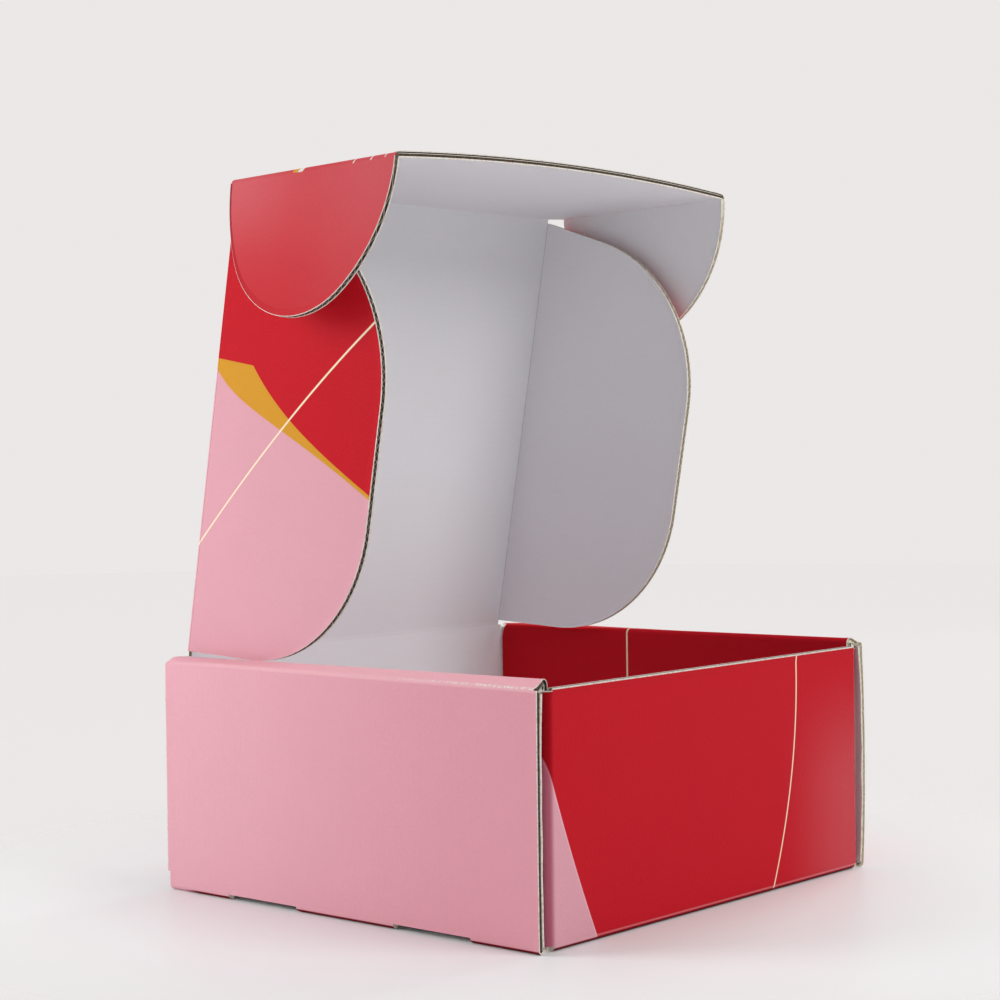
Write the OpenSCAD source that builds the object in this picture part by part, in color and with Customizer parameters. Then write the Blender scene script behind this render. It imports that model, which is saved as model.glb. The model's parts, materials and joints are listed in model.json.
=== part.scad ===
// Roll-end mailer box, die-cut from one sheet of fine-flute corrugated board.
// The tray is folded and locked, the lid stands open, and its tuck flap and ears reach forward.
// X runs across the box, Y from the front wall to the hinge, Z up. The origin is under the base's centre.

/* [Tray] */
// Width across the outer faces of the side walls
box_width = 225; // [190:1:300]
// Depth from the front wall's face to the back wall's face
box_depth = 206.5; // [180:0.5:280]
// Height of the rolled side walls
side_height = 100; // [90:1:130]
// How far the raw edge of the front wall lies below the side walls' top
front_drop = 1.2; // [0.6:0.1:4]
// How far the side walls run past the back wall's face
side_overrun = 2.6; // [0.4:0.1:4]
// Length of the corner flaps that the side walls hide
corner_flap = 62; // [30:1:80]
// Height of the snip at the lower rear corner of each side wall
rear_snip = 8; // [3:0.5:20]
// Size of the angled cut at the rear end of each rolled top
roll_chamfer = 3; // [1:0.5:5]

/* [Board] */
// Thickness of the board
board = 1.8; // [1.4:0.1:2.2]
// Thickness of the board's two outer papers
paper = 0.25; // [0.2:0.05:0.3]
// Thickness of the fluted paper between them
fluted_paper = 0.2; // [0.15:0.05:0.25]
// Distance from one flute to the next
flute_pitch = 3.3; // [3:0.1:4]
// Inside radius of a fold
fold_radius = 0.4; // [0.2:0.1:0.8]
// Clear space between layers that are folded against each other
layer_gap = 0.3; // [0.2:0.05:0.6]
// Clear space left along the creases of the moving flaps
crease_gap = 0.1; // [0.05:0.05:0.3]

/* [Side wall locks] */
// Width of the pocket beside each corner flap, where the lid's ears slide in
ear_slot = 3; // [2.2:0.1:4]
// Length of each lock slot in the base
lock_slot = 41; // [24:1:50]
// Distance of each lock slot's centre from the middle of the wall
lock_offset = 48; // [40:1:60]
// Play of a lock tab in its slot, at each end
lock_play = 1; // [0.4:0.1:2]
// Height of the notch that a lock slot leaves in the side wall's foot
slot_notch = 1.4; // [1:0.1:2]

/* [Lid] */
// How far the lid is open, where 0 is shut
lid_open = 79.8; // [70:0.1:100]
// How much shorter the lid is than the box's depth
lid_shortfall = 3.6; // [1:0.1:6]
// Height of the hinge crease above the side walls
hinge_rise = 1; // [0.6:0.1:3]
// Clear space between a lid wing and the side wall it drops behind
wing_clearance = 0.8; // [0.6:0.1:3]
// Distance from the hinge to the start of the wings
wing_rear_setback = 1.6; // [1:0.1:6]
// Distance from the end of the wings to the lid's front crease
wing_front_setback = 2.6; // [2:0.1:8]
// Lean of the wing's straight edge towards the hinge, in degrees
wing_rear_lean = 7.4; // [4:0.1:12]
// Lean of the wing's straight edge towards the tuck flap, in degrees
wing_front_lean = 8.5; // [4:0.1:12]
// How far each wing reaches from its crease
wing_reach = 97.5; // [80:0.5:98]
// Radius of the wing's corner towards the hinge
wing_radius_rear = 68; // [50:1:72]
// Radius of the wing's corner towards the tuck flap
wing_radius_front = 72; // [50:1:76]
// Fold of the left wing
left_wing_fold = 89.7; // [89.6:0.1:90]
// Fold of the right wing
right_wing_fold = 89.7; // [89.6:0.1:90]

/* [Tuck flap] */
// Length of the tuck flap from the lid's front crease to its free edge
tuck_length = 99.2; // [80:0.1:105]
// Fold of the tuck flap
tuck_fold = 78.1; // [60:0.1:89]
// Distance from the lid's front crease to the start of the ears
ear_setback = 5; // [3:0.5:10]
// How far each ear reaches from its crease
ear_reach = 61; // [52:0.5:72]
// Radius of the ear's tip
ear_tip_radius = 40; // [34:0.5:42]
// How far the ear's tip leans from the middle of its crease towards the lid
ear_lean = 3; // [0:0.5:4]
// Fold of the left ear
left_ear_fold = 80; // [60:0.5:90]
// Fold of the right ear
right_ear_fold = 88; // [60:0.5:90]

/* [Hidden] */
$fn = 96;
cut = 1;
// Turn between two points of a die-cut arc, in degrees
arc_step = 3;
// Half of the stretch where a flute's crest is glued to its paper, as a turn of the wave in degrees
glue_line = 30;

// Height of the space between the papers, and of the open flute along a raw edge
cell_height = board - 2 * paper;
open_flute = flute_pitch / 3;

// Folded board: an outer corner has fold_outer, and its flat panel starts there
fold_outer = board + fold_radius;
roll_width = 3 * board + ear_slot + layer_gap;
side_x = box_width / 2;
front_y = -box_depth / 2;
back_y = box_depth / 2;
inner_x = side_x - roll_width;
corner_x = side_x - board - ear_slot;
wall_top = side_height - front_drop;
flap_top = side_height - board - layer_gap;
inner_front_y = front_y + board + layer_gap;
inner_back_y = back_y - board - layer_gap;

// The hinge crease lies in the middle of the back wall's thickness
hinge_y = back_y - board / 2;
hinge_z = side_height + hinge_rise;
lid_width = 2 * (inner_x - board - wing_clearance);
hinge_width = 2 * (inner_x - layer_gap);
lid_length = box_depth - lid_shortfall;
wing_start = wing_rear_setback;
wing_end = lid_length - wing_front_setback;

// The ears stand in line with the pockets beside the corner flaps
tuck_width = 2 * (side_x - board - ear_slot / 2);
ear_length = tuck_length - ear_setback;

tray_colour = [0.89, 0.63, 0.70];
lid_colour = [0.80, 0.20, 0.26];
wing_colour = [0.86, 0.45, 0.52];
ear_colour = [0.80, 0.26, 0.31];

// Places its children in the lid's own frame: X across, Y from the hinge to the tuck flap, Z outwards
module lid_place() {
    translate([0, hinge_y, hinge_z]) rotate([180 - lid_open, 0, 0]) mirror([0, 0, 1]) children();
}

// Places its children in the tuck flap's frame: Y runs from the lid's front crease, Z outwards
module tuck_place() {
    lid_place() translate([0, lid_length, 0]) rotate([-tuck_fold, 0, 0]) children();
}

// Places a flap that hangs on the left (-1) or right (1) edge: X leaves the crease, Z outwards
module edge_place(side, crease_x, crease_z, fold) {
    mirror([side < 0 ? 1 : 0, 0, 0]) translate([crease_x, 0, crease_z]) rotate([0, fold, 0]) children();
}

// A quarter of a fold's ring, from the start angle on
module fold_ring(start) {
    rotate(start) intersection() {
        difference() {
            circle(fold_outer);
            circle(fold_radius);
        }
        square(fold_outer + cut);
    }
}

// Half of a crease: a flap's end cut back on both faces, with its ridge on the crease line
module ridge(length) {
    half = board / 2;
    rotate([90, 0, 90]) linear_extrude(length, center = true)
        polygon([[crease_gap, 0], [crease_gap + half, half], [crease_gap + half, -half]]);
}

// Section across a side wall: outer panel, rolled top and the inner panel that comes back down
module side_wall_section() {
    translate([side_x - fold_outer, fold_outer]) fold_ring(-90);
    translate([side_x - board, fold_outer]) square([board, side_height - 2 * fold_outer]);
    translate([side_x - fold_outer, side_height - fold_outer]) fold_ring(0);
}

module rolled_section() {
    translate([inner_x + fold_outer, side_height - board]) square([roll_width - 2 * fold_outer, board]);
    translate([inner_x + fold_outer, side_height - fold_outer]) fold_ring(90);
    translate([inner_x, board + layer_gap])
        square([board, side_height - fold_outer - board - layer_gap]);
}

// Outline of one hollow cell, which the fluted paper's wave bounds: X across the flutes, Y through the board
module flute_cell() {
    crest = cell_height / 2;
    swing = crest - fluted_paper / 2;
    polygon(concat(
        [[flute_pitch * glue_line / 360, crest]],
        [for (turn = [60:60:300]) [flute_pitch * turn / 360, swing * cos(turn) + fluted_paper / 2]],
        [[flute_pitch * (1 - glue_line / 360), crest]]
    ));
}

// Hollow cells on both sides of the fluted paper, which run along X and follow each other along Y
module flute_cells(from, to, length) {
    count = floor((to - from) / flute_pitch) - 1;
    first = (from + to - (count + 0.5) * flute_pitch) / 2;
    rotate([90, 0, 90]) linear_extrude(length) for (i = [0:count - 1], side = [0, 1])
        translate([first + (i + side / 2) * flute_pitch, 0]) mirror([0, side, 0]) flute_cell();
}

// Extrudes a section of the XZ plane from one Y to another
module along_depth(y_from, y_to) {
    translate([0, y_to, 0]) rotate([90, 0, 0]) linear_extrude(y_to - y_from) children();
}

module lock_tab(y_centre) {
    tab = lock_slot - 2 * lock_play;
    translate([inner_x, y_centre - tab / 2, layer_gap]) cube([board, tab, board + 2 * layer_gap]);
}

// The slot opens the base under the inner panel and runs out through the foot of the side wall
module lock_opening(y_centre) {
    slot_x = inner_x - layer_gap;
    translate([slot_x, y_centre - lock_slot / 2, -cut])
        cube([side_x - fold_outer - slot_x, lock_slot, board + cut + layer_gap / 2]);
    translate([side_x - fold_outer - layer_gap, y_centre - lock_slot / 2, -cut])
        cube([fold_outer + layer_gap + cut, lock_slot, slot_notch + cut]);
}

module side_wall() {
    difference() {
        union() {
            along_depth(front_y, back_y + side_overrun) side_wall_section();
            along_depth(inner_front_y, inner_back_y) rolled_section();
        }
        // the foot ends at the back wall, and the corner above it is snipped
        translate([side_x - fold_outer - cut, back_y, -cut])
            cube([fold_outer + 2 * cut, side_overrun + cut, fold_outer + cut]);
        translate([side_x - board - cut, back_y + side_overrun / 2, -cut])
            cube([board + 2 * cut, side_overrun, rear_snip + cut]);
        // angled cut at the rear end of the inner crease
        translate([inner_x - cut, inner_back_y - roll_chamfer, side_height]) rotate([45, 0, 0])
            mirror([0, 0, 1]) cube([roll_width - fold_outer - board, 2 * roll_chamfer, 2 * roll_chamfer]);
        for (e = [-1, 1]) lock_opening(e * lock_offset);
        // the outer panel's raw ends run along the flutes, so one of them lies open
        for (y_from = [front_y - cut, back_y + side_overrun - open_flute])
            translate([side_x - board + paper, y_from, rear_snip])
                cube([cell_height, open_flute + cut, side_height - rear_snip - fold_outer]);
    }
    for (e = [-1, 1]) lock_tab(e * lock_offset);
}

// Front or back wall up to the given top: a panel with a corner flap folded in at each end
module end_wall(top, flap) {
    panel_half = corner_x - fold_outer;
    // foot fold and flat panel
    rotate([90, 0, 90]) linear_extrude(2 * panel_half, center = true) {
        translate([fold_outer, fold_outer]) fold_ring(180);
        translate([0, fold_outer]) square([board, top - fold_outer]);
    }
    for (s = [0, 1]) mirror([s, 0, 0]) {
        translate([panel_half, fold_outer, fold_outer]) linear_extrude(flap_top - fold_outer) fold_ring(-90);
        translate([corner_x - board, fold_outer, board + layer_gap])
            cube([board, flap - fold_outer, flap_top - board - layer_gap]);
    }
}

module base_panel() {
    difference() {
        union() {
            translate([-side_x + fold_outer, front_y + fold_outer, 0])
                cube([box_width - 2 * fold_outer, box_depth - 2 * fold_outer, board]);
            // the base's corners fill the foot between the side walls and the end walls
            for (s = [0, 1], e = [0, 1]) mirror([s, 0, 0]) mirror([0, e, 0])
                translate([corner_x - fold_outer + layer_gap, front_y + board / 2, 0])
                    cube([side_x - corner_x - layer_gap, fold_outer, board]);
        }
        for (s = [0, 1], e = [-1, 1]) mirror([s, 0, 0]) lock_opening(e * lock_offset);
    }
}

module tray() {
    color(tray_colour) {
        base_panel();
        for (s = [0, 1]) mirror([s, 0, 0]) side_wall();
        difference() {
            translate([0, front_y, 0]) end_wall(wall_top, corner_flap);
            // the front wall's raw top runs along the flutes, so one of them lies open
            translate([-corner_x + fold_outer, front_y + paper, wall_top - open_flute])
                cube([2 * (corner_x - fold_outer), cell_height, open_flute + cut]);
        }
        mirror([0, 1, 0]) translate([0, -back_y, 0]) end_wall(wall_top, corner_flap);
        // the back wall rises to the hinge crease between the side walls
        translate([-hinge_width / 2, back_y - board, wall_top])
            cube([hinge_width, board, hinge_z - crease_gap - board / 2 - wall_top]);
        translate([0, hinge_y, hinge_z]) rotate([-90, 0, 0]) ridge(hinge_width);
    }
}

module lid() {
    reach = crease_gap + board / 2;
    color(lid_colour) lid_place() {
        translate([-lid_width / 2, reach, -board / 2]) cube([lid_width, lid_length - 2 * reach, board]);
        ridge(lid_width);
        translate([0, lid_length, 0]) mirror([0, 1, 0]) ridge(lid_width);
        // rounded backs of the wing creases
        for (s = [-1, 1]) wing_crease_back(s, s < 0 ? left_wing_fold : right_wing_fold);
    }
}

// The outer paper of a wing crease wraps round the fold as a quarter round on the lid's edge
module wing_crease_back(side, fold) {
    mirror([side < 0 ? 1 : 0, 0, 0]) translate([lid_width / 2, wing_end, -board / 2]) rotate([90, 0, 0])
        linear_extrude(wing_end - wing_start) intersection() {
            circle(board);
            polygon([[0, 0], [0, 2 * board], [2 * board, 2 * board],
                [2 * board, 2 * board / tan(fold)]]);
        }
}

// Points of an arc round a centre, from one angle to another
function arc_points(centre, radius, from, to) =
    let (steps = ceil((to - from) / arc_step))
    [for (i = [0:steps]) let (a = from + (to - from) * i / steps) centre + radius * [cos(a), sin(a)]];

// Outline of a wing: X leaves the crease, Y runs from the hinge to the tuck flap
module wing_outline() {
    rear = [wing_reach - wing_radius_rear, wing_start + wing_rise(wing_radius_rear, wing_rear_lean)];
    front = [wing_reach - wing_radius_front, wing_end - wing_rise(wing_radius_front, wing_front_lean)];
    polygon(concat(
        [[crease_gap, wing_start]],
        arc_points(rear, wing_radius_rear, wing_rear_lean - 90, 0),
        arc_points(front, wing_radius_front, 0, 90 - wing_front_lean),
        [[crease_gap, wing_end]]
    ));
}

// How far along the crease a corner arc's centre lies from where its straight edge starts
function wing_rise(radius, lean) =
    (wing_reach - radius - crease_gap) * tan(lean) + radius / cos(lean);

module wing(side, fold) {
    color(wing_colour) lid_place() edge_place(side, lid_width / 2, -board / 2, fold) difference() {
        linear_extrude(board) wing_outline();
        translate([board, 0, board / 2]) flute_cells(wing_start, wing_end, wing_reach);
    }
}

module left_wing() { wing(-1, left_wing_fold); }

module right_wing() { wing(1, right_wing_fold); }

module tuck_flap() {
    reach = crease_gap + board / 2;
    color(lid_colour) tuck_place() {
        ridge(lid_width);
        difference() {
            translate([0, 0, -board / 2]) linear_extrude(board) polygon([
                [-lid_width / 2, reach], [lid_width / 2, reach],
                [tuck_width / 2 - reach, ear_setback], [tuck_width / 2 - reach, tuck_length],
                [-tuck_width / 2 + reach, tuck_length], [-tuck_width / 2 + reach, ear_setback]
            ]);
            // the free edge runs along the flutes, so one of them lies open
            translate([-tuck_width / 2, tuck_length - open_flute, -cell_height / 2])
                cube([tuck_width, open_flute + cut, cell_height]);
        }
        for (s = [-1, 1]) translate([s * tuck_width / 2, ear_setback + ear_length / 2, 0])
            rotate([0, 0, s * 90]) ridge(ear_length);
    }
}

// Radius of an ear's side arc, where the tip arc's centre lies this far from that end of the crease
function ear_side_radius(from_end) =
    (pow(from_end, 2) + pow(ear_reach - ear_tip_radius, 2) - pow(ear_tip_radius, 2))
        / (2 * (from_end - ear_tip_radius));

// Outline of an ear: a long arc on each side that runs into the smaller arc of the tip
module ear_outline() {
    half = ear_length / 2;
    start = crease_gap + board / 2;
    tip = [ear_reach - ear_tip_radius, -ear_lean];
    rear_radius = ear_side_radius(half - ear_lean);
    front_radius = ear_side_radius(half + ear_lean);
    rear = [0, rear_radius - half];
    front = [0, half - front_radius];
    rear_meet = atan2(tip.y - rear.y, tip.x);
    front_meet = atan2(tip.y - front.y, tip.x);
    polygon(concat(
        arc_points(rear, rear_radius, -acos(start / rear_radius), rear_meet),
        arc_points(tip, ear_tip_radius, rear_meet, front_meet),
        arc_points(front, front_radius, front_meet, acos(start / front_radius))
    ));
}

module ear(side, fold) {
    color(ear_colour) tuck_place() translate([0, ear_setback + ear_length / 2, 0])
        edge_place(side, tuck_width / 2, 0, fold) {
            difference() {
                translate([0, 0, -board / 2]) linear_extrude(board) ear_outline();
                translate([2 * board, 0, 0]) flute_cells(-ear_length / 2, ear_length / 2, ear_reach);
            }
            rotate([0, 0, -90]) ridge(ear_length - 2 * crease_gap);
        }
}

module left_ear() { ear(-1, left_ear_fold); }

module right_ear() { ear(1, right_ear_fold); }

tray();
lid();
left_wing();
right_wing();
tuck_flap();
left_ear();
right_ear();
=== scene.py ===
# Open mailer box in printed fine-flute board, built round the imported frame.
# Lengths are in millimetres until a mesh is made, and angles are in degrees.
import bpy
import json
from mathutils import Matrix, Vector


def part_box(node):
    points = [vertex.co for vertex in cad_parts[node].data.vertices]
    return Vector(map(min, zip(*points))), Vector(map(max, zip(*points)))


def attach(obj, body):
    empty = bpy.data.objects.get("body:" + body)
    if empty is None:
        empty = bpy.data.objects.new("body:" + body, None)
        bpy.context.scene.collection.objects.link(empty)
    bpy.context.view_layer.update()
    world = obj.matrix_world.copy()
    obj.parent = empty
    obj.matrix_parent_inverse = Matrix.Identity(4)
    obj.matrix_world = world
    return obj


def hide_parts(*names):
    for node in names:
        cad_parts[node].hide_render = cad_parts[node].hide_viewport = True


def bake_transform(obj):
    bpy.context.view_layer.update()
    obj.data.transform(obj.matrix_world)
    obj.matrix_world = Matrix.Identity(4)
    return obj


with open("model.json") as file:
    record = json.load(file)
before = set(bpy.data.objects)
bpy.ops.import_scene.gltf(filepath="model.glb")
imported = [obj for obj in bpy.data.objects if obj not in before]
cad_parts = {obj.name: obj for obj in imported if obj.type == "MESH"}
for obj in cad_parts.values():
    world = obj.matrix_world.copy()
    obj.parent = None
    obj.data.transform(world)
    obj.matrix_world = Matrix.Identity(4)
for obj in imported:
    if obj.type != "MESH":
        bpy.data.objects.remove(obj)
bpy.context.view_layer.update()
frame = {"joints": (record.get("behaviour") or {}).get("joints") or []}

import json

import bmesh
import bpy
import numpy as np
from mathutils import Matrix, Vector

mm = 0.001
left, right = -1, 1  # the two sides along x

# Board: two papers and the fluted paper between them
board = dict(
    thick=1.8, paper=0.28, lining=0.42, fluted=0.2,  # all, outer paper, inner paper, fluted paper
    pitch=3.3,
    foldRadius=0.4,  # inside a fold
    gap=0.3,         # between boards that lie on each other
    cell=3.2,        # how deep the flutes are open at a cut edge
    rim=0.25,        # width of the pale worn line along a cut edge
    swell=0.55,      # how far the papers part there, as a share of their distance
    crease=1.0,      # how much of each flap a rounded crease takes over
)
half = board["thick"] / 2
foldMiddle = board["foldRadius"] + half
foldOuter = board["foldRadius"] + board["thick"]


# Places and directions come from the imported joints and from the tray's box
def jointAt(name):
    joint = next(j for j in frame["joints"] if j["name"] == name)
    return np.array(joint["pos_m"]) / mm, np.array(joint["axis"], float)


def unit(v):
    return v / np.linalg.norm(v)


xAxis, yAxis, zAxis = np.eye(3)
hinge = jointAt("lid_hinge")[0]
frontCrease = jointAt("tuck_fold")[0]
lidRun = unit(frontCrease - hinge)
lidOut = np.cross(lidRun, xAxis)
lidLength = np.linalg.norm(frontCrease - hinge)
lidWidth = 2 * jointAt("right_wing_fold")[0][0]
earCrease, tuckRun = jointAt("left_ear_fold")
tuckRun = unit(tuckRun)
tuckOut = np.cross(tuckRun, xAxis)
tuckWidth = -2 * earCrease[0]

trayLow, trayHigh = (np.array(corner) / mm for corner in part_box("tray"))
sideX = trayHigh[0]
frontY = trayLow[1]
backY = -frontY
sideOverrun = trayHigh[1] - backY
rearY = backY + sideOverrun

tray = dict(
    height=100, frontDrop=1.2, earSlot=3, cornerFlap=62, rearSnip=8, rollChamfer=2,
    lockSlot=41, lockOffset=48, lockPlay=1,       # slot's length, its middle, and the tab's play
    cornerRadius={left: 3.0, right: foldMiddle},  # of the front and back walls' corner folds
)
rollWidth = 3 * board["thick"] + tray["earSlot"] + board["gap"]
innerX = sideX - rollWidth
cornerX = sideX - board["thick"] - tray["earSlot"]
wallTop = tray["height"] - tray["frontDrop"]
flapTop = tray["height"] - board["thick"] - board["gap"]
innerY = backY - board["thick"] - board["gap"]


# Materials

class Wire:
    # A node's output. Sums and products of wires and numbers add their Math nodes.
    def __init__(self, shader, socket):
        self.shader, self.socket = shader, socket

    def maths(self, operation, *values, clamp=False):
        return self.shader.node("Math", dict(operation=operation, use_clamp=clamp), dict(enumerate(values)))

    def __add__(self, other):
        return self.maths("ADD", self, other)

    def __radd__(self, other):
        return self.maths("ADD", other, self)

    def __sub__(self, other):
        return self.maths("SUBTRACT", self, other)

    def __rsub__(self, other):
        return self.maths("SUBTRACT", other, self)

    def __mul__(self, other):
        return self.maths("MULTIPLY", self, other)

    def __rmul__(self, other):
        return self.maths("MULTIPLY", other, self)

    def __abs__(self):
        return self.maths("ABSOLUTE", self)

    def past(self, edge, soft):
        # 0 below the edge and 1 above it, over a soft step. A negative step turns it round.
        return self.maths("MULTIPLY_ADD", self - edge, 1 / soft, 0.5, clamp=True)

    def within(self, reach, soft):
        return 1 - abs(self).past(reach, soft)

    def ease(self, start, end, low=0.0, high=1.0):
        return self.shader.node("MapRange", dict(interpolation_type="SMOOTHSTEP"),
                                {0: self, 1: start, 2: end, 3: low, 4: high})

    def decay(self, reach):
        return self.maths("EXPONENT", self * (-1 / reach))

    def sine(self, wavelength):
        return self.maths("SINE", self * (2 * np.pi / wavelength))

    def most(self, other):
        return self.maths("MAXIMUM", self, other)


class Shader:
    # The nodes of a material or of the world, with the place in millimetres as x, y and z
    def __init__(self, owner, placed=True):
        owner.use_nodes = True
        self.owner, self.tree = owner, owner.node_tree
        self.tree.nodes.clear()
        if placed:
            place = self.node("TexCoord", out="Object")
            self.spot = self.node("VectorMath", dict(operation="SCALE"), {0: place, "Scale": 1 / mm})
            axes = (self.node("SeparateXYZ", values={0: self.spot}, out=i) for i in range(3))
            self.x, self.y, self.z = axes

    def node(self, kind, settings=None, values=None, out=0):
        made = self.tree.nodes.new("ShaderNode" + kind)
        for key, value in (settings or {}).items():
            setattr(made, key, value)
        for key, value in (values or {}).items():
            if isinstance(value, Wire):
                self.tree.links.new(value.socket, made.inputs[key])
            else:
                made.inputs[key].default_value = value
        return Wire(self, made.outputs[out]) if made.outputs else None

    def along(self, origin, direction):
        # millimetres from a point along a direction
        return self.node("VectorMath", dict(operation="DOT_PRODUCT"),
                         {0: self.spot, 1: tuple(direction)}, out="Value") - float(np.dot(origin, direction))

    def noise(self, size, detail=2.0, rough=0.5):
        return self.node("TexNoise", values={"Vector": self.spot, "Scale": 1 / size, "Detail": detail,
                                             "Roughness": rough})

    def mix(self, mask, first, second, blend="MIX"):
        return self.node("Mix", dict(data_type="RGBA", blend_type=blend),
                         {0: mask, 6: first, 7: second}, out=2)

    def finish(self, colour, roughness, height, bump, shine=0.5):
        normal = self.node("Bump", values={"Height": height, "Distance": 0.1 * mm, "Strength": bump})
        paper = self.node("BsdfPrincipled", values={"Base Color": colour, "Roughness": roughness,
                                                    "Normal": normal, "Specular IOR Level": shine})
        self.node("OutputMaterial", values={"Surface": paper})
        return self.owner


def srgb(r, g, b):
    # a colour as read off a screen, 0 to 255, to Blender's linear values
    parts = np.array((r, g, b)) / 255
    return (*np.where(parts > 0.04045, ((parts + 0.055) / 1.055) ** 2.4, parts / 12.92).tolist(), 1.0)


inks = dict(
    # the left wall's pink is given twice: darker at its front end as painted shade, lighter at its rear end
    # as painted light
    pink=srgb(223, 163, 175), wallRearPaintedLight=srgb(228, 169, 181), wallFrontPaintedShade=srgb(226, 158, 171),
    # deep is the base's red print darkened as painted shade, for the underside of the foot's crease
    rose=srgb(236, 182, 190), red=srgb(196, 23, 37), deep=srgb(120, 12, 22),
    # bendPaintedShade darkens the front wall's bend at its left corner as painted shade
    amber=srgb(212, 151, 46), cream=srgb(250, 230, 200), bendPaintedShade=(0.58, 0.3, 0.37, 1),
    inside=srgb(238, 238, 241), cut=srgb(228, 222, 212), cutStain=srgb(196, 172, 158),
    # kraft and kraftShade are the fluted paper darkened as painted shade, paleKraft and paleShade the same
    # paper lightened as painted light
    kraft=srgb(120, 102, 80), kraftShade=srgb(40, 34, 29),
    paleKraft=srgb(236, 230, 208), paleShade=srgb(190, 180, 150),
)
# The two faces of the board: mottle and flute stripes in the colour, then relief and gloss
printed = dict(mottle=0.12, stripes=0.002, fibre=0.35, relief=3.0, bump=0.4,
               roughness=0.475, cloud=14, uneven=0.05, shine=0.04)
bare = dict(mottle=0.085, stripes=0.003, fibre=0.4, relief=1.5, bump=0.3,
            roughness=0.62, cloud=9, uneven=0.1, shine=0.15)


def boardPaper(name, fields, flute, paper=printed):
    # fields(s) gives the colours, and flute(s) the distance across the flutes
    s = Shader(bpy.data.materials.new(name))
    stripes = flute(s).sine(board["pitch"])
    fine = (s.noise(0.8, 3.0, 0.7) - 0.5) * paper["mottle"]
    broad = (s.noise(38) - 0.5) * (paper["mottle"] * 0.35)
    shade = fine + broad + 1 + stripes * paper["stripes"]
    grey = s.node("CombineColor", values={0: shade, 1: shade, 2: shade})
    colour = s.mix(1.0, fields(s), grey, "MULTIPLY")
    roughness = s.noise(paper["cloud"]) * paper["uneven"] + paper["roughness"]
    height = s.noise(paper["fibre"], 3.0, 0.65) * 0.5 + stripes * 0.05 + s.noise(1.2, 3.0) * paper["relief"]
    return s.finish(colour, roughness, height, paper["bump"], paper["shine"])


def insidePaper(name, flute):
    return boardPaper(name, lambda s: inks["inside"], flute, bare)


def rawPaper(name, light, dark, blotch, edge, roughness, bump):
    # cut or bare paper in two blotched tones. blotch: size, detail and roughness of the noise.
    s = Shader(bpy.data.materials.new(name))
    colour = s.mix(s.noise(*blotch).past(edge, 0.3), inks[light], inks[dark])
    return s.finish(colour, roughness, s.noise(0.3, 3.0), bump)


edgePaper = rawPaper("cutPaper", "cut", "cutStain", (1.3, 3.0), 0.6, 0.8, 0.4)
# the fluted paper's cores: the first is darkened as painted shade, its near-black blotches painted shade in
# the open flutes; the pale one is lightened as painted light
coreInPaintedShade = rawPaper("flutedCorePaintedShade", "kraft", "kraftShade", (1.1, 4.0, 0.75), 0.5, 0.85, 0.5)
coreInPaintedLight = rawPaper("flutedCorePaintedLight", "paleKraft", "paleShade", (1.1, 4.0, 0.75), 0.5, 0.85, 0.5)
cores = {left: coreInPaintedShade, right: coreInPaintedLight}  # painted light and shade: the right side's cut edges take the lighter copy of the fluted paper, for where they catch the light; the left side's take the darker copy
print("board and paper materials made")


# Meshes

printMark, insideMark, edgeMark, coreMark = range(4)  # a face's material on its piece


class Mesher:
    # Collects closed sheets as one mesh
    def __init__(self):
        self.points, self.faces, self.marks, self.count = [], [], [], 0

    def sheet(self, top, under, keep=None, marks=(printMark, insideMark, edgeMark), cut=None):
        # marks: the material on top, underneath and round the rim. The rim beside a cut cell shows the core.
        rows, cols = top.shape[:2]
        keep = np.ones((rows - 1, cols - 1), bool) if keep is None else keep
        index = self.count + np.arange(rows * cols).reshape(rows, cols)
        below = index + rows * cols
        self.points += [top.reshape(-1, 3), under.reshape(-1, 3)]
        self.count += 2 * rows * cols
        for layer, mark, turn in ((index, marks[0], 1), (below, marks[1], -1)):
            quads = np.stack([layer[:-1, :-1], layer[1:, :-1], layer[1:, 1:], layer[:-1, 1:]][::turn], -1)
            self.add(quads[keep], mark)
        padded = np.pad(keep, 1)
        inner = padded[1:-1, 1:-1]
        cutCells = np.pad(np.zeros_like(keep) if cut is None else cut, 1)
        edges = ((np.s_[:-2, 1:-1], np.s_[:-1, :-1], np.s_[:-1, 1:]),
                 (np.s_[2:, 1:-1], np.s_[1:, 1:], np.s_[1:, :-1]),
                 (np.s_[1:-1, :-2], np.s_[1:, :-1], np.s_[:-1, :-1]),
                 (np.s_[1:-1, 2:], np.s_[:-1, 1:], np.s_[1:, 1:]))
        for beyond, a, b in edges:
            quads = np.stack([index[a], index[b], below[b], below[a]], -1)
            rim = inner & ~padded[beyond]
            self.add(quads[rim & ~cutCells[beyond]], marks[2])
            self.add(quads[rim & cutCells[beyond]], coreMark)

    def add(self, quads, mark):
        self.faces.append(quads.reshape(-1, 4))
        self.marks.append(np.full(len(self.faces[-1]), mark))

    def piece(self, name, materials):
        points = np.concatenate(self.points) * mm
        faces = np.concatenate(self.faces)
        marks = np.concatenate(self.marks)
        used, faces = np.unique(faces, return_inverse=True)
        mesh = bpy.data.meshes.new(name)
        mesh.from_pydata(points[used].tolist(), [], faces.reshape(-1, 4).tolist())
        mesh.polygons.foreach_set("material_index", marks.astype(np.int32))
        mesh.polygons.foreach_set("use_smooth", np.ones(len(marks), bool))
        for material in materials:
            mesh.materials.append(material)
        tidy = bmesh.new()
        tidy.from_mesh(mesh)
        bmesh.ops.dissolve_degenerate(tidy, dist=2e-6, edges=tidy.edges)
        bmesh.ops.recalc_face_normals(tidy, faces=tidy.faces)
        tidy.to_mesh(mesh)
        tidy.free()
        mesh.set_sharp_from_angle(angle=np.radians(32))
        made = bpy.data.objects.new(name, mesh)
        bpy.context.scene.collection.objects.link(made)
        return made


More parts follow.
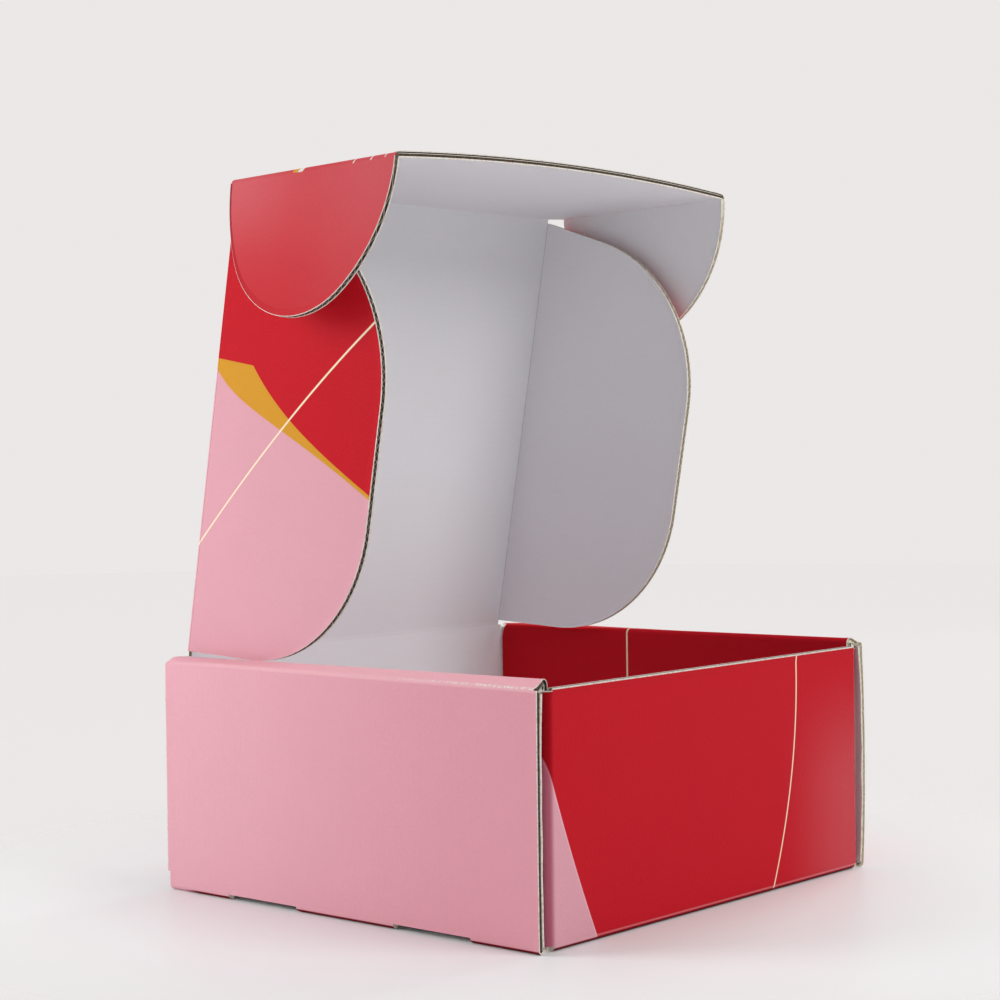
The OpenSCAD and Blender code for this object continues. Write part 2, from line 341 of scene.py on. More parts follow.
def standFor(piece, node):
    # the piece moves with the body of that name and takes the place of its solid
    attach(piece, node)
    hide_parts(node)


def between(start, end, step):
    return np.linspace(start, end, max(2, int(np.ceil(abs(end - start) / step)) + 1))


def middles(grid, axis):
    # one value for each cell of a grid, half-way between its rows (0) or between its columns (1)
    return (grid[1:, 1:] + (grid[:-1, 1:] if axis == 0 else grid[1:, :-1])) / 2


def openBands(values, low, high, rim):
    # Sample places with two more at each raw end: the worn rim's and the last of the open cells
    ends = [values[0] + d for d in (rim, board["cell"]) if low]
    ends += [values[-1] - d for d in (rim, board["cell"]) if high]
    start, stop = values[0] + board["cell"] * low, values[-1] - board["cell"] * high
    inside = [v for v in values[1:-1] if start < v < stop and all(abs(v - e) > 0.4 for e in ends)]
    return np.array(sorted([values[0], values[-1], *ends, *inside]))


def edgeLines(side, depth):
    # the outermost rows or columns of a grid
    return {"rowLow": np.s_[:depth, :], "rowHigh": np.s_[-depth:, :],
            "colLow": np.s_[:, :depth], "colHigh": np.s_[:, -depth:]}[side]


def boardPiece(name, rows, columns, shape, materials, raw=(), keep=None, rim=board["rim"], swell=None):
    # rows: places across the flutes. columns(rows): places along them for each row.
    # shape(u, w, t): the point at height t in the board. raw: the cut edges, by side.
    # rim: width of the worn line there. swell(w): how far the inside and outside papers part.
    mesher = Mesher()
    outer, inner, fluted = half - board["paper"], board["lining"] - half, board["fluted"] / 2
    spread = swell or (lambda w: (board["swell"], board["swell"]))
    rows = openBands(rows, "rowLow" in raw, "rowHigh" in raw, rim)
    u, w = np.broadcast_arrays(rows[:, None], columns(rows))
    cells = np.ones((u.shape[0] - 1, u.shape[1] - 1), bool) if keep is None else keep(u, w)
    band, worn, parted = np.zeros_like(cells), np.zeros_like(cells), np.zeros(u.shape)
    for side in raw:
        band[edgeLines(side, 2)] = True
        worn[edgeLines(side, 1)] = True
        parted[edgeLines(side, 2)] = np.maximum(parted[edgeLines(side, 2)], 1 - rim / board["cell"])
        parted[edgeLines(side, 1)] = 1

    def level(t, w, share):
        inside, outside = spread(w)
        return t * (1 + share * np.where(t < 0, inside, outside))

    face = lambda t: shape(u, w, level(t, w, parted))
    mesher.sheet(shape(u, w, half), shape(u, w, -half), cells & ~band, cut=cells & band)
    if raw:
        mesher.sheet(face(half), face(outer), cells & band & ~worn, (printMark, coreMark, edgeMark))
        mesher.sheet(face(half), face(outer), cells & worn, (edgeMark, coreMark, edgeMark))
        mesher.sheet(face(inner), face(-half), cells & band, (coreMark, insideMark, edgeMark))
    for side in raw:
        low = side.endswith("Low")
        if side.startswith("col"):
            # this edge cuts the flutes across, and the fluted paper ends raggedly a little short of it
            fine = between(rows[0], rows[-1], board["pitch"] / 8)
            fu, fw = np.broadcast_arrays(fine[:, None], columns(fine))
            pick = np.s_[:, :3:2] if low else np.s_[:, -3::2]
            fu, fw = fu[pick], fw[pick].copy()
            end, inwards = (0, 1) if low else (-1, -1)
            short = np.minimum(0.1 + 0.06 * np.sin(fu[:, 0] * 1.7), np.abs(fw[:, 1] - fw[:, 0]) * 0.5)
            fw[:, end] += inwards * short
            share = np.zeros(fu.shape)
            share[:, end] = 1
            wide = np.abs(fw[:, 1:] - fw[:, :-1]) > 0.2
            there = wide[1:] & wide[:-1]
        else:
            edge, closed = (0, 2) if low else (-1, -3)
            fine = between(*sorted((rows[edge], rows[closed])), board["pitch"] / 8)
            fu, fw = np.broadcast_arrays(fine[:, None], columns(fine))
            share = np.abs(fu - rows[closed]) / board["cell"]
            there = keep(fu, fw) if keep else None
        wave = (outer + inner) / 2 + ((outer - inner) / 2 - fluted) * np.sin(2 * np.pi * fu / board["pitch"])
        wave = level(wave, fw, share)
        mesher.sheet(shape(fu, fw, wave + fluted), shape(fu, fw, wave - fluted), there,
                     (coreMark, coreMark, edgeMark))
    return mesher.piece(name, materials)


def flapColumns(width, step, low=False, high=True):
    # columns that follow a flap's outline, from its near side to its far side
    def columns(rows):
        near, far = width(rows)
        first = near + (board["cell"] if low else 0)
        last = np.maximum(far - (board["cell"] if high else 0), first)
        count = max(2, int((far - near).max() / step))
        parts = [first[:, None] + (last - first)[:, None] * np.linspace(0, 1, count)]
        if low:
            parts = [near[:, None], near[:, None] + board["rim"]] + parts
        if high:
            parts += [np.maximum(far - board["rim"], last)[:, None], np.maximum(far, last)[:, None]]
        return np.concatenate(parts, 1)
    return columns


def arc(centre, radius, start, end, step=2):
    angle = np.radians(between(start, end, step))
    return np.stack([centre[0] + radius * np.cos(angle), centre[1] + radius * np.sin(angle)], 1)


def flat(origin, run, away, out):
    # a flap as a plane: u along run, w along away, t along out
    def shape(u, w, t):
        level = np.broadcast_to(t, u.shape)
        return origin + u[..., None] * run + w[..., None] * away + level[..., None] * out
    return shape


def bend(name, centre, run, out, angle, middle, along, reach, papers):
    # A crease: the board turns by the angle round a centre line, at the middle radius.
    # reach: its two ends along the line.
    mesher = Mesher()
    turn = np.radians(between(0, angle, 12))
    way = np.sin(turn)[:, None] * run + np.cos(turn)[:, None] * out
    across = between(*reach, 3)[:, None, None] * along
    inside = max(middle - half, 0.03)  # never quite 0, where the sheet would close on a line
    mesher.sheet(centre + across + way * (middle + half), centre + across + way * inside)
    piece = mesher.piece(name, [*papers, coreInPaintedShade])
    start = centre + out * middle
    end = centre + way[-1] * middle
    tuple(start * mm)
    tuple(end * mm)
    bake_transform(piece)


# Print. Each field is plain ink with a simple edge; some also add painted light and shade.

acrossY = lambda s: s.y
acrossZ = lambda s: s.z


def line(distance, width):
    return distance.within(width / 2, 0.25)


def leftField(s):
    # pink, darker towards the front end as painted shade and lighter towards the rear as painted light; below
    # the foot's crease the base's red print, darkened as painted shade; the roll's top and a band along its
    # outer crease lighter as painted highlight; with a worn white line near its front
    # painted light and shade: the pink runs from darker at the front end to lighter at the rear
    colour = s.mix(s.y.ease(-110, 110), inks["wallFrontPaintedShade"], inks["wallRearPaintedLight"])
    # below the foot's crease: the base's red print, darkened as painted shade
    colour = s.mix(s.z.past(1.3, 0.3) + s.y.past(92, 8), inks["deep"], colour)
    # painted light: the roll's top is lighter, most of all towards the front end
    colour = s.mix(s.z.past(97.9, 0.8) * s.y.ease(100, 30, 0.1, 0.5), colour, inks["rose"])
    # painted highlight: a pale band along the roll's outer crease, on its outer side
    outside = s.x.past(-110.3, -0.6)
    colour = s.mix((s.z - 98.7).within(0.8, 0.9) * outside * 0.45, colour, inks["rose"])
    crease = (s.z - 99.1).within(0.35, 0.3) * s.x.past(-110.5, -0.6) * s.noise(1.4, 3.0).past(0.5, 0.12)
    return s.mix(crease * s.y.past(-50, -70), colour, inks["cut"])


def rightField(s):
    return s.mix(line(s.y - 22, 0.9), inks["red"], inks["cream"])


def frontField(s):
    # a pink corner with a pale rim, and one cream line that curves; then painted light and shade: a lighter
    # lower right end as painted sheen, a darker bend at the left end as painted shade, a painted highlight
    # along the foot's crease, and the base's red below it darkened as painted shade
    edge = s.x - (s.z * s.z * 0.0009 - s.z * 0.4767 - 77.6)
    colour = s.mix(edge.past(0, 0.3), inks["pink"], inks["red"])
    colour = s.mix(line(edge, 0.7), colour, inks["rose"])
    stroke = s.x - (41.0 + s.z * 0.4243 - s.z * s.z * 0.00237)
    colour = s.mix(line(stroke, 0.8), colour, inks["cream"])
    # painted sheen: the red lightens towards the lower right end, with a slight lift everywhere
    paintedSheen = s.x.ease(45, 104, 0, 0.12) * s.z.ease(95, 35) + 0.005
    colour = s.mix(paintedSheen, colour, inks["rose"])
    # painted shade: the bend at the left end, where it turns into the slot, is darkened
    colour = s.mix(s.x.ease(-102.4, -105.6), colour, inks["bendPaintedShade"], "MULTIPLY")
    # painted highlight: a pale line along the top of the foot's crease
    colour = s.mix((s.z - 2.0).within(0.3, 0.5) * 0.35, colour, inks["rose"])
    # below the foot's crease: the base's red print, darkened as painted shade
    return s.mix(s.z.past(1.3, 0.3), inks["deep"], colour)


def backField(s):
    edge = s.x - (s.z * 0.35 + 20)
    return s.mix(edge.past(0, 0.3), inks["pink"], inks["red"])


def lidField(s):
    edge = s.along(hinge, lidRun) - (s.x * 0.06 + 128)
    colour = s.mix(edge.past(-14, 0.3), inks["pink"], inks["amber"])
    return s.mix(edge.past(0, 0.3), colour, inks["red"])


def leftWingField(s, rise, out):
    # red over pink, with an amber blade between them and one cream line across
    lower = 115.8 - out * 0.22 - out * out * 0.0009 + out.decay(12) * 8.2
    upper = 121 - out * 0.35 + out.decay(24) * 38.5
    colour = s.mix((rise - lower).past(0, 0.3), inks["pink"], inks["amber"])
    colour = s.mix((rise - upper).past(0, 0.3), colour, inks["red"])
    colour = s.mix((rise - 129.3).past(0, 0.3), colour, inks["red"])
    stroke = (rise - (out * 1.42 - out * out * 0.0025 + 49.8)) * 0.63
    return s.mix(line(stroke, 0.8), colour, inks["cream"])


def rightWingField(s, rise, out):
    return s.mix((rise - 88).past(0, 0.3), inks["pink"], inks["red"])


def leftEarField(s, rise, out):
    # lighter towards the top and the crease as painted sheen, with an amber fleck and pale nicks along the
    # crease
    # painted sheen: the red is mixed towards rose near the top and the crease
    paintedEarSheen = rise.ease(60, 0, 0, 0.1) * out.ease(40, 0) + out.ease(58, 0, 0, 0.09) + rise.ease(40, 95, 0, 0.06)
    colour = s.mix(paintedEarSheen, inks["red"], inks["rose"])
    fleck = (rise - 43.2).within(1.4, 0.6) * (1 - out.past(0.9, 0.4))
    colour = s.mix(fleck, colour, inks["amber"])
    for place, width, reach in ((46.4, 1.5, 1.0), (76.6, 0.35, 1.1), (86.2, 0.4, 1.0), (93.8, 0.3, 0.7)):
        nick = (rise + out * 0.4 - place).within(width, 0.35) * (1 - out.past(reach, 0.5))
        colour = s.mix(nick, colour, inks["cut"])
    return colour


def rightEarField(s, rise, out):
    return inks["red"]


def plainRed(s):
    return inks["red"]


insideX = insidePaper("insideFlutesUp", acrossY)
insideY = insidePaper("insideFlutesAcross", acrossZ)


# Tray

def fold(start, runs, radius=foldMiddle):
    # A folded path in a wall's section: lengths along it, distance out and height, and the outward normals.
    # runs: straight lengths and fold angles by turns.
    spot, heading = np.array(start, float), 0.0
    places, facing = [spot], [heading]
    for kind, amount in runs:
        steps = int(np.ceil(amount / 12)) if kind == "turn" else 1
        turn = np.radians(amount) / steps if kind == "turn" else 0.0
        stride = 2 * radius * np.sin(turn / 2) if kind == "turn" else amount
        for _ in range(steps):
            spot = spot + stride * np.array((np.cos(heading + turn / 2), np.sin(heading + turn / 2)))
            heading += turn
            places.append(spot)
            facing.append(heading)
    places, facing = np.array(places), np.array(facing)
    length = np.concatenate([[0], np.cumsum(np.linalg.norm(np.diff(places, axis=0), axis=1))])
    return length, places, np.stack([np.sin(facing), -np.cos(facing)], 1)


def pathAt(path, w, t):
    # distance out and height of the point at w along a folded path and t through the board
    length, places, normals = path
    return (np.interp(w, length, places[:, i]) + np.interp(w, length, normals[:, i]) * t for i in (0, 1))


# How the rolled side walls depart from their plain section
roll = dict(
    outerDip={left: 0.4, right: -1.1},   # the outer crease lies this far low
    rearDip=0.9, rearDipReach=34,        # and sinks further towards its rear end
    innerLift=(0.2, 2.4),                # the inner crease stands proud: rear end, front end
    sag={left: 0.2, right: -0.6}, sagReach=9,     # the crushed front end
    arch={left: 0.4, right: 0.1}, archReach=16,   # the arched rear end
    round={left: 0.5, right: 0.0},                # and how much rounder its outer side is
    flare={left: 0.2, right: 2.1}, flareReach=24,  # how far the wall's front end bows out
    fray=0.9, frayRoll=1.2, frayReach=6,          # how far the papers part at the front and rear ends
)


def rollPush(side):
    def push(y, out, up):
        inward = np.clip((sideX - foldOuter - out) / (rollWidth - 2 * foldOuter), 0, 1)
        share = np.clip(up / tray["height"], 0, 1.1)
        fromRear = np.clip((backY - y) / (backY - frontY), 0, 1)
        atFlare, atFront = (np.exp((frontY - y) / roll[reach]) for reach in ("flareReach", "sagReach"))
        atRear = np.exp((y - rearY) / roll["archReach"])
        rear, front = roll["innerLift"]
        lift = rear + (front - rear) * fromRear ** 0.8
        rearDip = roll["rearDip"] * np.clip((y - backY) / roll["rearDipReach"] + 1, 0, 1.1) ** 2
        dip = -roll["outerDip"][side] - rearDip
        crown = np.sin(np.pi * inward)
        sag = roll["sag"][side] * atFront * crown ** 1.2 - roll["arch"][side] * atRear * crown ** 0.7
        slope = inward ** (1 - roll["round"][side] * atRear)
        bow = np.sin(np.pi * np.clip(share, 0, 1)) ** 0.7 * (1 - inward) * atFlare
        return out + roll["flare"][side] * bow, up + share * (dip + (lift - dip) * slope) - share ** 6 * sag
    return push


def sideWall(side, name, fields):
    # Rolled wall: up, across the narrow top and down again inside, to the tabs in the base.
    rise = tray["height"] - 2 * foldOuter
    drop = tray["height"] - foldOuter - board["thick"] - board["gap"]
    snip = tray["rearSnip"] - foldOuter
    path = fold((sideX - foldOuter, half), [
        ("turn", 68.7), ("turn", 21.3),  # the foot's right angle, in two parts that set its facets
        ("straight", snip), ("straight", rise - snip), ("turn", 90),
        ("straight", rollWidth - 2 * foldOuter), ("turn", 90),
        ("straight", drop), ("straight", board["thick"])])
    length, places, normals = path
    high = places[:, 1] > tray["height"] / 2
    footTop = length[np.argmax(normals[:, 0] > np.sin(np.radians(89)))]
    snipTop = length[np.argmax(places[:, 1] >= tray["rearSnip"] - 0.01)]
    rollStart = length[np.argmax((places[:, 0] < sideX - half - 0.2) & high)]
    innerCrease = length[np.argmax((places[:, 0] <= innerX + foldOuter + 0.01) & high)]
    tabStart = length[-2]

    def columns(rows):
        outer = between(snipTop, rollStart - 1.5, 12)[1:-1]
        strip = np.linspace(rollStart, innerCrease, 8)[1:-1]
        inner = between(innerCrease + 6, tabStart, 12)[:-1]
        corners = [snipTop + 0.05, rollStart - 0.05, innerCrease + tray["rollChamfer"]]
        return np.unique(np.concatenate([length, outer, strip, inner, corners]))[None, :]

    def ends(w):
        # where each line of the section starts and stops along the wall
        start = np.where(w < rollStart - 0.02, frontY, -innerY)
        stop = np.interp(w, (rollStart, innerCrease - 2.5, innerCrease), (rearY, rearY - 1, innerY))
        stop = np.where(w <= snipTop, backY + sideOverrun / 2, stop)
        foot = np.clip(w / footTop, 0, 1)
        stop = np.where(w < footTop, backY + sideOverrun / 2 * np.sqrt(foot), stop)
        cutBack = tray["rollChamfer"] - np.abs(w - innerCrease - 1)
        return start, stop - np.clip(cutBack, 0, None) * (w > innerCrease - 0.5)

    push = rollPush(side)

    def shape(u, w, t):
        start, stop = ends(w)
        y = start + (u - frontY) * (stop - start) / (rearY - frontY)
        out, up = push(y, *pathAt(path, w, t))
        return (side * out)[..., None] * xAxis + y[..., None] * yAxis + up[..., None] * zAxis

    def keep(u, w):
        fromLock = np.abs(np.abs(middles(u, 0)) - tray["lockOffset"])
        inSlot = fromLock < tray["lockSlot"] / 2
        inTab = fromLock < tray["lockSlot"] / 2 - tray["lockPlay"]
        return ~(inSlot & (middles(w, 1) < footTop)) & ~(~inTab & (middles(w, 1) > tabStart))

    def fray(w):
        # the papers part unevenly along the ends, most of all where the roll was crushed
        crushed = np.exp(-((w - (rollStart + innerCrease) / 2) / roll["frayReach"]) ** 2)
        wavy = 0.25 * np.sin(w / 3.1) + 0.15 * np.sin(w / 1.3)
        return roll["fray"] + wavy + roll["frayRoll"] * crushed, 0.1

    slotEnds = [s * (tray["lockOffset"] + e * (tray["lockSlot"] / 2 - play))
                for s in (-1, 1) for e in (-1, 1) for play in (0, tray["lockPlay"])]
    rows = np.unique(np.concatenate([between(frontY, rearY, 5), slotEnds]))
    materials = [boardPaper(name + "Print", fields, acrossY), insideX, edgePaper, cores[side]]
    piece = boardPiece(name, rows, columns, shape, materials, raw=("rowLow", "rowHigh"),
                       keep=keep, swell=fray)
    standFor(piece, "tray")


sideWall(left, "leftWall", leftField)
sideWall(right, "rightWall", rightField)


def endWall(side, name, fields, top):
    # Single wall with its foot fold, and a corner flap folded in at each end.
    # side: -1 is the front. The back wall goes on above the side walls, up to the lid's crease.
    ends = {end: cornerX - radius - half for end, radius in tray["cornerRadius"].items()}
    tall = top > wallTop
    runs = [("turn", 90), ("straight", wallTop - foldOuter)]
    if tall:
        runs.append(("straight", top - wallTop))
    path = fold((backY - foldOuter, half), runs)
    length = path[0]
    narrow = innerX - board["gap"]

    def shape(u, w, t):
        out, up = pathAt(path, u, t)
        return w[..., None] * xAxis + (side * out)[..., None] * yAxis + up[..., None] * zAxis

    def keep(u, w):
        return (middles(u, 0) < length[-2]) | (np.abs(middles(w, 1)) < narrow)

    xs = np.unique(np.concatenate([between(-ends[left], ends[right], 8), (-narrow, narrow)]))
    rows = np.unique(np.concatenate([length, between(foldOuter + 3, length[-1], 10)]))
    materials = [boardPaper(name + "Print", fields, acrossZ), insideY, edgePaper, coreInPaintedShade]
    piece = boardPiece(name, rows, lambda rows: xs[None, :], shape, materials,
                       raw=() if tall else ("rowHigh",), keep=keep if tall else None, rim=0.55)
    standFor(piece, "tray")
    for end, label in ((left, "Left"), (right, "Right")):
        # the flap's path lies level: its heading turns from the wall's line into the box
        flapPath = fold((ends[end], 0), [("turn", 90), ("straight", tray["cornerFlap"] - foldOuter)],
                        tray["cornerRadius"][end])
        flapEnd = flapPath[0][-1]
        places = np.unique([*flapPath[0], flapEnd - board["cell"], flapEnd - board["rim"]])

        def flap(u, w, t):
            out, inwards = pathAt(flapPath, w, t)
            y = side * (backY - half - inwards)
            return (end * out)[..., None] * xAxis + y[..., None] * yAxis + u[..., None] * zAxis
        piece = boardPiece(f"{name}{label}Flap", between(foldOuter, flapTop, 12),
                           lambda rows: places[None, :], flap, materials, raw=("rowHigh", "colHigh"))
        standFor(piece, "tray")


endWall(-1, "frontWall", frontField, wallTop)
endWall(1, "backWall", backField, hinge[2] - board["crease"])


def basePanel():
    # the floor of the box, with the slots that take the side walls' tabs
    slotX = innerX - board["gap"]
    xs = np.array([-sideX + foldOuter, -slotX, -60, 0, 60, slotX, sideX - foldOuter])
    slotEnds = [s * (tray["lockOffset"] + e * tray["lockSlot"] / 2) for s in (-1, 1) for e in (-1, 1)]
    ys = np.unique(np.concatenate([between(frontY + foldOuter, backY - foldOuter, 20), slotEnds]))
    x, y = np.broadcast_arrays(xs[None, :], ys[:, None])
    fromLock = np.abs(np.abs(middles(y, 0)) - tray["lockOffset"])
    keep = ~((np.abs(middles(x, 1)) > slotX) & (fromLock < tray["lockSlot"] / 2))
    point = lambda z: np.stack([x, y, np.full(x.shape, z)], -1)
    mesher = Mesher()
    mesher.sheet(point(board["thick"]), point(0.0), keep, (insideMark, printMark, edgeMark))
    piece = mesher.piece("basePanel", [boardPaper("footPrint", plainRed, acrossY), insideX, edgePaper])
    standFor(piece, "tray")


basePanel()
print("tray folded")


# Lid, wings, tuck flap and ears

lid = dict(wingStart=1.6, wingFrontGap=2.6, hollow=0.5)
wing = dict(reach=97.5, rear=68, front=72, rearLean=7.4, frontLean=8.5, gap=0.1, fold=89.7, swell=1.1)
tuck = dict(length=99.2, setback=5, bow=4.0, fold=78.1)
ear = dict(reach=61, tip=40, lean=3, folds={left: 80, right: 88}, shine=0.1)
wingEnd = lidLength - lid["wingFrontGap"]
earHalf = (tuck["length"] - tuck["setback"]) / 2
earMiddle = tuck["setback"] + earHalf
acrossLid = lambda s: s.along(hinge, lidRun)
acrossTuck = lambda s: s.along(frontCrease, tuckRun)


def creaseRadius(angle):
    # the bend that takes over the same length of both flaps
    return board["crease"] / np.tan(np.radians(angle / 2))


def lidPanel():
    rows = between(board["crease"], lidLength - board["crease"], 8)
    width = lambda rows: (np.full(rows.shape, -lidWidth / 2), np.full(rows.shape, lidWidth / 2))
    plain = flat(hinge, lidRun, xAxis, lidOut)

    def shape(u, w, t):
        hollow = lid["hollow"] * np.sin(np.pi * u / lidLength) * (1 - (2 * w / lidWidth) ** 2)
        return plain(u, w, t - hollow)
    papers = [boardPaper("lidPrint", lidField, acrossLid), insidePaper("lidInside", acrossLid)]
    piece = boardPiece("lidPanel", rows, flapColumns(width, 9, low=True), shape,
                       [*papers, edgePaper, coreInPaintedShade], raw=("colLow", "colHigh"),
                       swell=lambda w: (0.0, 0.2))
    standFor(piece, "lid")
    ends = (-lidWidth / 2, lidWidth / 2)
    lean = np.degrees(np.arccos(np.dot(zAxis, lidRun)))
    middle = creaseRadius(lean)
    bend("hingeCrease", hinge - zAxis * board["crease"] - yAxis * middle, zAxis, yAxis, lean, middle,
         xAxis, ends, papers)
    middle = creaseRadius(tuck["fold"])
    bend("frontCrease", frontCrease - lidRun * board["crease"] - lidOut * middle, lidRun, lidOut,
         tuck["fold"], middle, xAxis, ends, papers)


def wingPanel(side, name, body, fields):
    # Rounded dust wing: leaning flanks and two large arcs
    turn = np.radians(wing["fold"])
    away = np.cos(turn) * side * xAxis - np.sin(turn) * lidOut
    out = np.sin(turn) * side * xAxis + np.cos(turn) * lidOut
    corner = hinge + side * lidWidth / 2 * xAxis - half * lidOut
    rise = lambda r, lean: ((wing["reach"] - r - wing["gap"]) * np.tan(np.radians(lean))
                            + r / np.cos(np.radians(lean)))
    rear = (wing["reach"] - wing["rear"], lid["wingStart"] + rise(wing["rear"], wing["rearLean"]))
    front = (wing["reach"] - wing["front"], wingEnd - rise(wing["front"], wing["frontLean"]))
    outline = np.concatenate([[(wing["gap"], lid["wingStart"])],
                              arc(rear, wing["rear"], wing["rearLean"] - 90, 0),
                              arc(front, wing["front"], 0, 90 - wing["frontLean"]),
                              [(wing["gap"], wingEnd)]])
    rows = np.unique(np.round(np.concatenate([between(lid["wingStart"], wingEnd, 2.5), outline[:, 1]]), 3))
    width = lambda rows: (np.full(rows.shape, wing["gap"]), np.interp(rows, outline[:, 1], outline[:, 0]))
    # the papers part on the inside only, and not beside the crease, where the wing folds on to the lid
    swell = lambda w: (wing["swell"] * np.clip((w - 8) / 20, 0, 1), 0.2)
    papers = [boardPaper(name + "Print", lambda s: fields(s, acrossLid(s), s.along(corner, away)), acrossLid),
              insidePaper(name + "Inside", acrossLid)]
    piece = boardPiece(name, rows, flapColumns(width, 9), flat(corner + half * out, lidRun, away, out),
                       [*papers, edgePaper, cores[side]], raw=("colHigh",), swell=swell)
    standFor(piece, body)
    bend(name + "Crease", corner, side * xAxis, lidOut, wing["fold"], half, lidRun,
         (lid["wingStart"], wingEnd), papers)


def tuckPanel():
    # the lid's front flap, which steps out to its full width and bows along its free edge
    limit = tuckWidth / 2 - board["crease"]
    rows = np.unique(np.concatenate([between(board["crease"], tuck["setback"], 2),
                                     between(tuck["setback"], tuck["length"], 6)]))
    plain = flat(frontCrease, tuckRun, xAxis, tuckOut)

    def width(rows):
        wide = np.interp(rows, (board["crease"], tuck["setback"]), (lidWidth / 2, limit))
        return -wide, wide

    def shape(u, w, t):
        bow = tuck["bow"] * (u / tuck["length"]) ** 2 * (1 - (w / limit) ** 2)
        return plain(u, w, t + bow)
    papers = [boardPaper("tuckPrint", plainRed, acrossTuck), insidePaper("tuckInside", acrossTuck)]
    piece = boardPiece("tuckPanel", rows, flapColumns(width, 7, high=False), shape,
                       [*papers, edgePaper, coreInPaintedShade], raw=("rowHigh",))
    standFor(piece, "tuck_flap")


def earPanel(side, name, body, fields):
    # Rounded ear: a tip arc between two wide side arcs
    angle = ear["folds"][side]
    turn = np.radians(angle)
    away = np.cos(turn) * side * xAxis - np.sin(turn) * tuckOut
    out = np.sin(turn) * side * xAxis + np.cos(turn) * tuckOut
    centre = frontCrease + earMiddle * tuckRun + side * tuckWidth / 2 * xAxis
    crease = centre - earMiddle * tuckRun + half * out
    reach = board["crease"]

    def sideRadius(fromEnd):
        flank = ear["reach"] - ear["tip"]
        return (fromEnd ** 2 + flank ** 2 - ear["tip"] ** 2) / (2 * (fromEnd - ear["tip"]))
    tip = (ear["reach"] - ear["tip"], -ear["lean"])
    rearRadius, frontRadius = sideRadius(earHalf - ear["lean"]), sideRadius(earHalf + ear["lean"])
    rear, front = (0, rearRadius - earHalf), (0, earHalf - frontRadius)
    rearMeet = np.degrees(np.arctan2(tip[1] - rear[1], tip[0]))
    frontMeet = np.degrees(np.arctan2(tip[1] - front[1], tip[0]))
    outline = np.concatenate([
        arc(rear, rearRadius, -np.degrees(np.arccos(reach / rearRadius)), rearMeet),
        arc(tip, ear["tip"], rearMeet, frontMeet)[1:],
        arc(front, frontRadius, frontMeet, np.degrees(np.arccos(reach / frontRadius)))[1:]])
    rows = np.unique(np.round(np.concatenate([between(outline[0, 1], outline[-1, 1], 2), outline[:, 1]]), 3))
    width = lambda rows: (np.full(rows.shape, reach), np.interp(rows, outline[:, 1], outline[:, 0]))
    papers = [boardPaper(name + "Print", lambda s: fields(s, acrossTuck(s), s.along(crease, away)),
                         acrossTuck, dict(printed, shine=ear["shine"])),
              insidePaper(name + "Inside", acrossTuck)]
    piece = boardPiece(name, rows, flapColumns(width, 6), flat(centre, tuckRun, away, out),
                       [*papers, edgePaper, cores[side]], raw=("colHigh",))
    standFor(piece, body)
    middle = creaseRadius(angle)
    bend(name + "Crease", centre - side * reach * xAxis - middle * tuckOut, side * xAxis, tuckOut,
         angle, middle, tuckRun, (-earHalf, earHalf), papers)


lidPanel()
wingPanel(left, "leftWingPanel", "left_wing", leftWingField)
wingPanel(right, "rightWingPanel", "right_wing", rightWingField)
tuckPanel()
earPanel(left, "leftEarPanel", "left_ear", leftEarField)
earPanel(right, "rightEarPanel", "right_ear", rightEarField)
print("lid and flaps built")


# Stage, lights and camera

stage = dict(
    floor=srgb(232, 234, 235), roughness=0.4, shine=0.12, reach=2600,
    back=srgb(235, 232, 231), fadeStart=135, fadeEnd=335,  # the floor fades into the backdrop over this
    ambient=0.29,
)
lamps = dict(
    key=dict(place=(-850, 750, 620), size=600, power=5.8),
    edge=dict(place=(-480, 420, 260), size=300, power=0.95),
    front=dict(place=(300, -1300, 1100), size=900, power=12.2),
    top=dict(place=(0, 0, 1500), size=1200, power=4),
    right=dict(place=(1300, 0, 500), size=600, power=10.5),
)
lampTarget = (0, 0, 110)


def layFloor():
    s = Shader(bpy.data.materials.new("studioFloor"))
    distance = s.node("VectorMath", dict(operation="LENGTH"), {0: s.spot}, out="Value")
    seen = s.node("LightPath", out="Is Camera Ray")
    fade = distance.ease(stage["fadeStart"], stage["fadeEnd"], 0, 0.97) * seen
    floor = s.node("BsdfPrincipled", values={"Base Color": stage["floor"], "Roughness": stage["roughness"],
                                             "Specular IOR Level": stage["shine"]})
    mixed = s.node("MixShader", values={0: fade, 1: floor, 2: s.node("BsdfTransparent")})
    s.node("OutputMaterial", values={"Surface": mixed})
    bpy.ops.mesh.primitive_circle_add(vertices=96, radius=stage["reach"] * mm, fill_type="NGON")
    floorDisc = bpy.context.object
    floorDisc.name = "studioFloor"
    floorDisc.data.materials.append(s.owner)


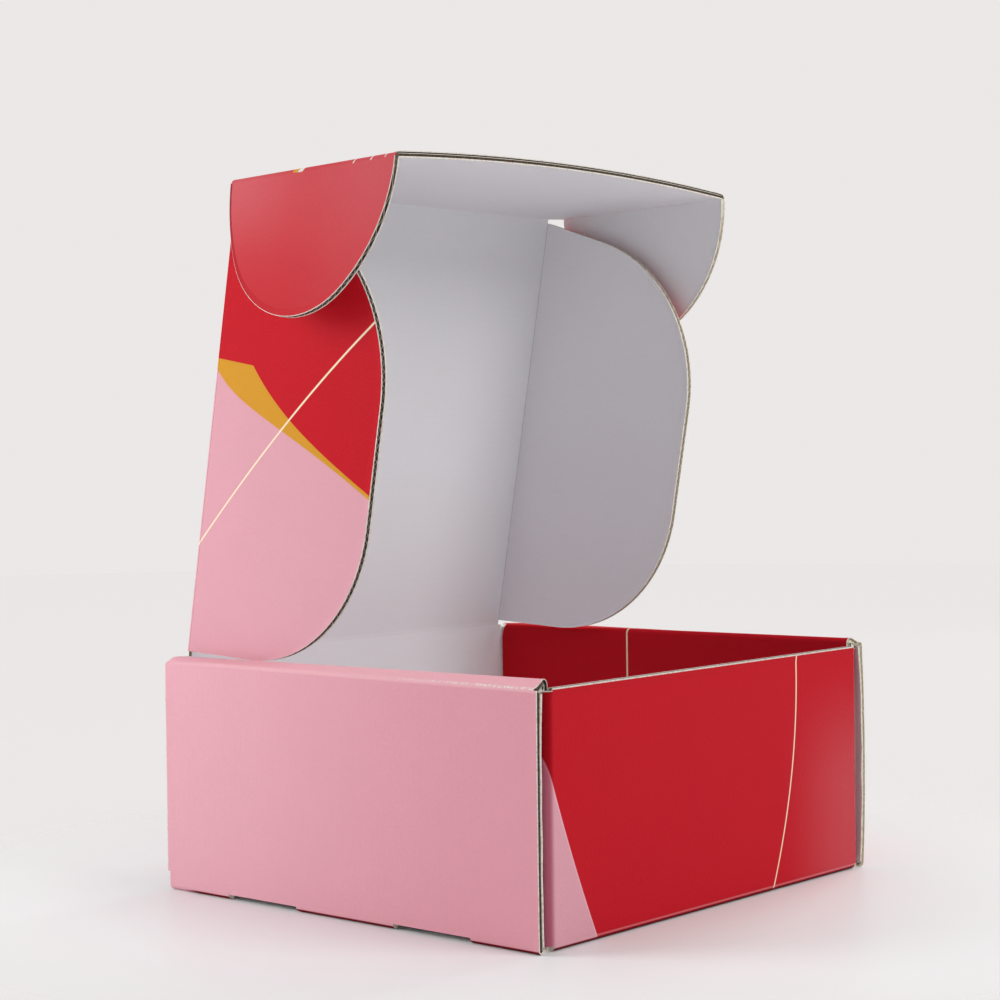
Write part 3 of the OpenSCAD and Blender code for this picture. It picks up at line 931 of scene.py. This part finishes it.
def hangBackdrop():
    # a plain backdrop for what is seen or mirrored, and an even dim light on the box
    s = Shader(bpy.data.worlds.new("studio"), placed=False)
    seen, mirrored, through = (s.node("LightPath", out=f"Is {ray} Ray")
                               for ray in ("Camera", "Glossy", "Transmission"))
    light = s.node("Background", values={"Color": (1, 1, 1, 1), "Strength": stage["ambient"]})
    backdrop = s.node("Background", values={"Color": stage["back"]})
    mixed = s.node("MixShader", values={0: seen.most(mirrored).most(through), 1: light, 2: backdrop})
    s.node("OutputWorld", values={"Surface": mixed})
    bpy.context.scene.world = s.owner


def hangLamps():
    target = Vector(lampTarget) * mm
    for name, lamp in lamps.items():
        data = bpy.data.lights.new(name, "AREA")
        data.energy = lamp["power"]
        data.size = lamp["size"] * mm
        made = bpy.data.objects.new(name, data)
        made.location = Vector(lamp["place"]) * mm
        made.rotation_euler = (target - made.location).to_track_quat("-Z", "Y").to_euler()
        bpy.context.scene.collection.objects.link(made)


view = dict(place=(-745.14, -636.26, 188.77), yaw=49.01, pitch=-1.34, roll=-0.70, lens=80.72, sensor=36)


def placeCamera():
    yaw, pitch, tilt = (np.radians(view[k]) for k in ("yaw", "pitch", "roll"))
    ahead = np.array((np.sin(yaw) * np.cos(pitch), np.cos(yaw) * np.cos(pitch), np.sin(pitch)))
    level = np.array((np.cos(yaw), -np.sin(yaw), 0))
    up = np.cross(level, ahead)
    across = level * np.cos(tilt) + up * np.sin(tilt)
    upward = up * np.cos(tilt) - level * np.sin(tilt)
    data = bpy.data.cameras.new("camera")
    data.lens, data.sensor_width = view["lens"], view["sensor"]
    data.clip_start, data.clip_end = 0.05, 50
    camera = bpy.data.objects.new("camera", data)
    turn = Matrix(np.stack([across, upward, -ahead], 1).tolist()).to_4x4()
    camera.matrix_world = Matrix.Translation(Vector(view["place"]) * mm) @ turn
    bpy.context.scene.collection.objects.link(camera)
    bpy.context.scene.camera = camera


layFloor()
hangBackdrop()
hangLamps()
placeCamera()
bpy.context.scene.view_settings.view_transform = "Standard"
print("stage, lights and camera placed")
